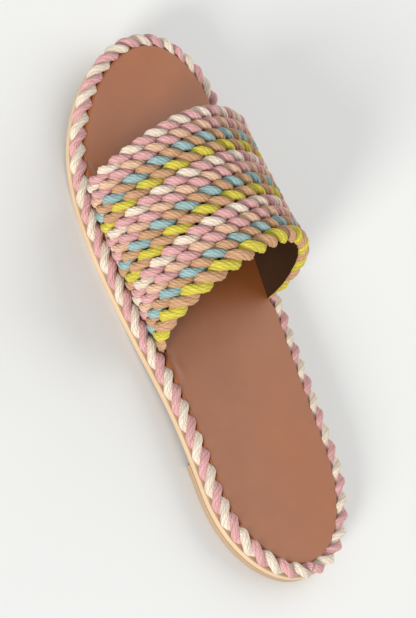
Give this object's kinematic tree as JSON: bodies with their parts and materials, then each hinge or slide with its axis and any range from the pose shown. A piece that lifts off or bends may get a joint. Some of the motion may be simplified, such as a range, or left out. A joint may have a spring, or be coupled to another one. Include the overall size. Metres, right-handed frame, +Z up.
{
  "type": "rope slide sandal",
  "caption": "Flat slide sandal for the left foot: a wide strap of coloured cotton ropes, a padded leather insole and a rope border on a thin leather sole.",
  "frame": {"origin": "on the ground, under the middle of the shoe's box", "axes": "+Y towards the toe, +X towards the inner side of the foot, +Z up"},
  "size_m": [0.1002, 0.262, 0.0677],
  "materials": {
    "sole_leather": "natural edge, satin",
    "heel_leather": "stacked, natural edge, satin",
    "tan_leather": "smooth, waxed",
    "border_cotton": "matte twisted cotton",
    "strap_cotton": "matte twisted cotton, leather lined"
  },
  "bodies": {
    "root": {"outsole": "sole_leather", "heel_lift": "heel_leather", "insole": "tan_leather", "border_rope": "border_cotton", "strap": "strap_cotton"}
  },
  "joints": []
}
